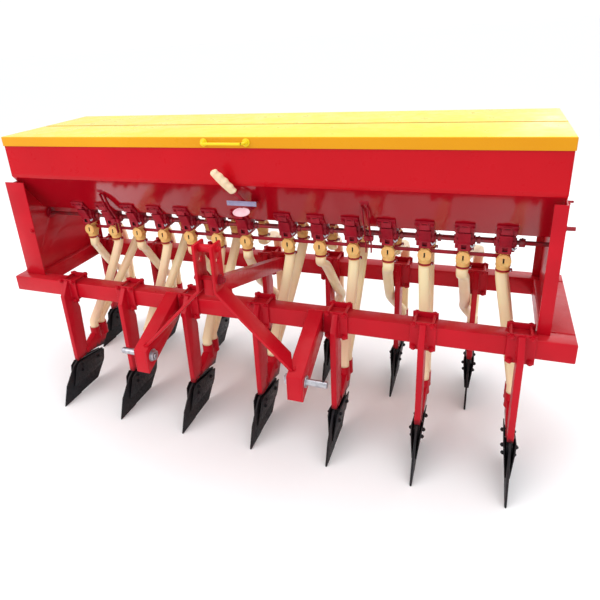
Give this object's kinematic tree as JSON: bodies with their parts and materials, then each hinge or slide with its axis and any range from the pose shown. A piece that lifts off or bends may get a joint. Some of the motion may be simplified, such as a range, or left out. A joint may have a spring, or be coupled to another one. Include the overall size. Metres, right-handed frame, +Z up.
{
  "type": "seed drill",
  "caption": "Tractor-mounted seed and fertiliser drill: lidded double hopper over rows of metering cups, tubes and tynes with flat shoe openers on a two-beam frame.",
  "frame": {"origin": "on the ground, at the middle of the machine's length and width", "axes": "+X to the machine's left-to-right as seen from its hitch side, along the beams; +Y away from the tractor; +Z up"},
  "size_m": [2.643, 1.065, 1.348],
  "materials": {
    "enamel_red": "glossy red enamel on rolled steel",
    "cast_red": "thick red enamel on castings",
    "shaft_red": "red enamel, rubbed, over bright bar",
    "lid_yellow": "glossy yellow enamel on folded sheet",
    "opener_black": "black paint on plate steel",
    "tube_cream": "translucent cream hose and moulded funnels",
    "grip_cream": "cream moulded grip on a red stem",
    "scale_grey": "blank grey scale plate",
    "pin_steel": "bright zinc-plated pins"
  },
  "bodies": {
    "frame": {"front_beam": "enamel_red", "rear_beam": "enamel_red", "side_beam_left": "enamel_red", "side_beam_right": "enamel_red", "lower_hitch_left": "enamel_red", "lower_hitch_right": "enamel_red", "hitch_pin_left": "pin_steel", "hitch_pin_right": "pin_steel", "mast_flat_left": "enamel_red", "mast_flat_right": "enamel_red", "mast_spacer": "enamel_red", "mast_stay": "enamel_red", "box_support_left": "enamel_red", "box_support_right": "enamel_red", "hopper_front_panel": "enamel_red", "hopper_rear_panel": "enamel_red", "hopper_floor": "enamel_red", "hopper_partition": "enamel_red", "hopper_end_left": "enamel_red", "hopper_end_right": "enamel_red", "front_meters": "cast_red", "rear_meters": "cast_red", "fertiliser_tubes": "tube_cream", "seed_tubes": "tube_cream", "rate_lever": "grip_cream", "rate_scale": "scale_grey", "tyne_01": "enamel_red", "tyne_02": "enamel_red", "tyne_03": "enamel_red", "tyne_04": "enamel_red", "tyne_05": "enamel_red", "tyne_06": "enamel_red", "tyne_07": "enamel_red", "tyne_08": "enamel_red", "tyne_09": "enamel_red", "tyne_10": "enamel_red", "tyne_11": "enamel_red", "tyne_12": "enamel_red", "tyne_13": "enamel_red", "tyne_14": "enamel_red", "opener_01": "opener_black", "opener_02": "opener_black", "opener_03": "opener_black", "opener_04": "opener_black", "opener_05": "opener_black", "opener_06": "opener_black", "opener_07": "opener_black", "opener_08": "opener_black", "opener_09": "opener_black", "opener_10": "opener_black", "opener_11": "opener_black", "opener_12": "opener_black", "opener_13": "opener_black", "opener_14": "opener_black"},
    "front_lid": {"front_lid": "lid_yellow"},
    "rear_lid": {"rear_lid": "lid_yellow"},
    "front_feed": {"front_feed_shaft": "shaft_red"},
    "rear_feed": {"rear_feed_shaft": "shaft_red"}
  },
  "joints": [
    {"name": "front_lid_hinge", "type": "hinge", "parent": "frame", "child": "front_lid", "pos_m": [0, 0.117, 1.344], "axis": [-1, 0, 0], "range_deg": [0, 85]},
    {"name": "rear_lid_hinge", "type": "hinge", "parent": "frame", "child": "rear_lid", "pos_m": [0, 0.131, 1.344], "axis": [1, 0, 0], "range_deg": [0, 85]},
    {"name": "front_feed_turn", "type": "hinge", "parent": "frame", "child": "front_feed", "pos_m": [0, 0.024, 0.9], "axis": [1, 0, 0], "continuous": true},
    {"name": "rear_feed_turn", "type": "hinge", "parent": "frame", "child": "rear_feed", "pos_m": [0, 0.224, 0.9], "axis": [1, 0, 0], "continuous": true}
  ]
}
